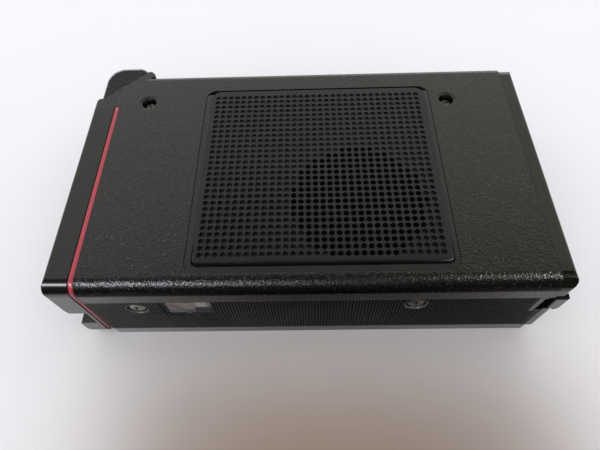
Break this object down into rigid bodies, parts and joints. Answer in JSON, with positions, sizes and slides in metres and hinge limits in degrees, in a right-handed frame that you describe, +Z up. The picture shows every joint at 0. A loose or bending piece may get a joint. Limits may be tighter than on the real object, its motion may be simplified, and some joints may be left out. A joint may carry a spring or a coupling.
{
  "type": "cassette recorder",
  "caption": "Pocket stereo cassette recorder lying on its front, with rear speaker grille, corner microphone, piano keys, thumbwheel dials, cassette door and a belt-driven tape mechanism.",
  "frame": {"origin": "middle of the front cover's face, on which the recorder lies", "axes": "+X along the case from the jack and microphone end to the battery end, +Y across it towards the keys, +Z up to the rear speaker face"},
  "size_m": [0.1579, 0.0962, 0.0375],
  "materials": {
    "grain_plastic": "dark warm grey leather-grain moulding",
    "smooth_plastic": "smooth dark grey, satin",
    "red_trim": "red stripe, satin",
    "grille_plastic": "black satin moulding",
    "ribbed_plastic": "fine ribbed dark grey",
    "front_plastic": "grey satin",
    "strap_metal": "grey painted",
    "screw_steel": "plated steel",
    "inner_plastic": "black moulded",
    "contact_metal": "nickel plated spring steel",
    "pin_steel": "polished steel",
    "window_clear": "tinted clear plastic",
    "chassis_steel": "zinc plated sheet steel",
    "motor_steel": "plated steel can",
    "brass_parts": "turned brass",
    "rubber_black": "black rubber",
    "flywheel_metal": "turned zinc-plated brass",
    "spindle_plastic": "white moulded",
    "head_metal": "polished alloy",
    "key_red": "red moulded",
    "key_grey": "dark grey moulded",
    "board_green": "printed board",
    "board_parts": "electronic parts",
    "dial_plastic": "notched dial",
    "mesh_metal": "fine black mesh",
    "magnet_iron": "ferrite and steel",
    "cone_paper": "black paper cone",
    "scale_cream": "printed meter scale",
    "needle_paint": "black painted needle"
  },
  "bodies": {
    "case": {"rear_cover": "grain_plastic", "top_trim": "smooth_plastic", "end_cap": "smooth_plastic", "top_end_frame": "smooth_plastic", "mic_bezel": "smooth_plastic", "red_stripe": "red_trim", "speaker_grille": "grille_plastic", "near_side_panel": "ribbed_plastic", "far_side_panel": "ribbed_plastic", "front_cover": "front_plastic", "strap_bar": "strap_metal", "rear_screws": "screw_steel", "side_screws": "screw_steel", "battery_box": "inner_plastic", "cassette_well": "inner_plastic", "jack_sockets": "inner_plastic", "dc_jack": "inner_plastic", "meter_body": "inner_plastic", "battery_contacts": "contact_metal", "key_springs": "contact_metal", "hinge_pins": "pin_steel", "meter_window": "window_clear", "mechanism_chassis": "chassis_steel", "key_frame": "chassis_steel", "drive_motor": "motor_steel", "speaker_frame": "motor_steel", "capstan_bearing": "brass_parts", "drive_belt": "rubber_black", "mic_capsules": "head_metal", "main_board": "board_green", "control_board": "board_green", "board_parts": "board_parts", "mic_mesh": "mesh_metal", "speaker_magnet": "magnet_iron", "speaker_cone": "cone_paper", "meter_scale": "scale_cream"},
    "door": {"cassette_door": "front_plastic", "door_window": "window_clear"},
    "battery_door": {"battery_lid": "smooth_plastic"},
    "record_button": {"record_key": "key_red"},
    "play_button": {"play_key": "key_grey"},
    "forward_button": {"forward_key": "key_grey"},
    "rewind_button": {"rewind_key": "key_grey"},
    "stop_button": {"stop_key": "key_grey"},
    "pause_button": {"pause_key": "key_grey"},
    "heads": {"head_slide": "chassis_steel", "record_head": "head_metal", "erase_head": "head_metal"},
    "pinch": {"pinch_arm": "chassis_steel"},
    "roller": {"pinch_roller": "rubber_black"},
    "fly": {"flywheel": "flywheel_metal", "capstan": "pin_steel"},
    "pulley": {"motor_pulley": "brass_parts"},
    "idler": {"idler_wheel": "rubber_black"},
    "takeup": {"takeup_spindle": "spindle_plastic"},
    "supply": {"supply_spindle": "spindle_plastic"},
    "volume": {"volume_dial": "dial_plastic"},
    "level": {"level_dial": "dial_plastic"},
    "needle": {"meter_needle": "needle_paint"}
  },
  "joints": [
    {"name": "door_hinge", "type": "hinge", "parent": "case", "child": "door", "pos_m": [0, -0.0416, 0.0022], "axis": [-1, 0, 0], "range_deg": [0, 75]},
    {"name": "battery_lid_hinge", "type": "hinge", "parent": "case", "child": "battery_door", "pos_m": [0.0774, 0, 0.006], "axis": [0, 1, 0], "range_deg": [0, 85]},
    {"name": "record_press", "type": "slide", "parent": "case", "child": "record_button", "axis": [0, -1, 0], "range_m": [0, 0.003], "stiffness_N_per_m": 400, "springref_m": -0.0008},
    {"name": "play_press", "type": "slide", "parent": "case", "child": "play_button", "axis": [0, -1, 0], "range_m": [0, 0.003], "stiffness_N_per_m": 400, "springref_m": -0.0008},
    {"name": "forward_press", "type": "slide", "parent": "case", "child": "forward_button", "axis": [0, -1, 0], "range_m": [0, 0.003], "stiffness_N_per_m": 400, "springref_m": -0.0008},
    {"name": "rewind_press", "type": "slide", "parent": "case", "child": "rewind_button", "axis": [0, -1, 0], "range_m": [0, 0.003], "stiffness_N_per_m": 400, "springref_m": -0.0008},
    {"name": "stop_press", "type": "slide", "parent": "case", "child": "stop_button", "axis": [0, -1, 0], "range_m": [0, 0.003], "stiffness_N_per_m": 400, "springref_m": -0.0008},
    {"name": "pause_press", "type": "slide", "parent": "case", "child": "pause_button", "axis": [0, -1, 0], "range_m": [0, 0.003], "stiffness_N_per_m": 400, "springref_m": -0.0008},
    {"name": "head_slide_in", "type": "slide", "parent": "case", "child": "heads", "axis": [0, -1, 0], "range_m": [0, 0.0064]},
    {"name": "pinch_swing", "type": "hinge", "parent": "case", "child": "pinch", "pos_m": [-0.051, 0.02527, 0.016], "axis": [0, 0, -1], "range_deg": [0, 27.64]},
    {"name": "roller_spin", "type": "hinge", "parent": "pinch", "child": "roller", "pos_m": [-0.03789, 0.02849, 0.0094], "axis": [0, 0, 1], "continuous": true},
    {"name": "flywheel_spin", "type": "hinge", "parent": "case", "child": "fly", "pos_m": [-0.03789, 0.0156, 0.022], "axis": [0, 0, 1], "continuous": true},
    {"name": "motor_spin", "type": "hinge", "parent": "case", "child": "pulley", "pos_m": [0.012, 0.0245, 0.022], "axis": [0, 0, 1], "continuous": true},
    {"name": "idler_spin", "type": "hinge", "parent": "case", "child": "idler", "pos_m": [-0.03199, 0.00271, 0.019], "axis": [0, 0, 1], "continuous": true},
    {"name": "takeup_spin", "type": "hinge", "parent": "case", "child": "takeup", "pos_m": [-0.02525, -0.012, 0.015], "axis": [0, 0, 1], "continuous": true},
    {"name": "supply_spin", "type": "hinge", "parent": "case", "child": "supply", "pos_m": [0.01725, -0.012, 0.015], "axis": [0, 0, 1], "continuous": true},
    {"name": "volume_turn", "type": "hinge", "parent": "case", "child": "volume", "pos_m": [-0.0663, -0.008, 0.0145], "axis": [0, 0, 1], "range_deg": [0, 270]},
    {"name": "level_turn", "type": "hinge", "parent": "case", "child": "level", "pos_m": [-0.0663, 0.014, 0.0145], "axis": [0, 0, 1], "range_deg": [0, 270]},
    {"name": "needle_swing", "type": "hinge", "parent": "case", "child": "needle", "pos_m": [-0.0382, -0.0444, 0.0173], "axis": [0, 1, 0], "range_deg": [0, 76], "stiffness_Nm_per_rad": 0.00002, "springref_deg": -5.73}
  ],
  "couplings": [
    {"joint": "head_slide_in", "follows": "play_press", "ratio": 2.1333},
    {"joint": "pinch_swing", "follows": "play_press", "rad_per_m": 160.7},
    {"joint": "motor_spin", "follows": "flywheel_spin", "ratio": 4.9286},
    {"joint": "idler_spin", "follows": "flywheel_spin", "ratio": -1.0002},
    {"joint": "takeup_spin", "follows": "flywheel_spin", "ratio": 0.77778}
  ]
}
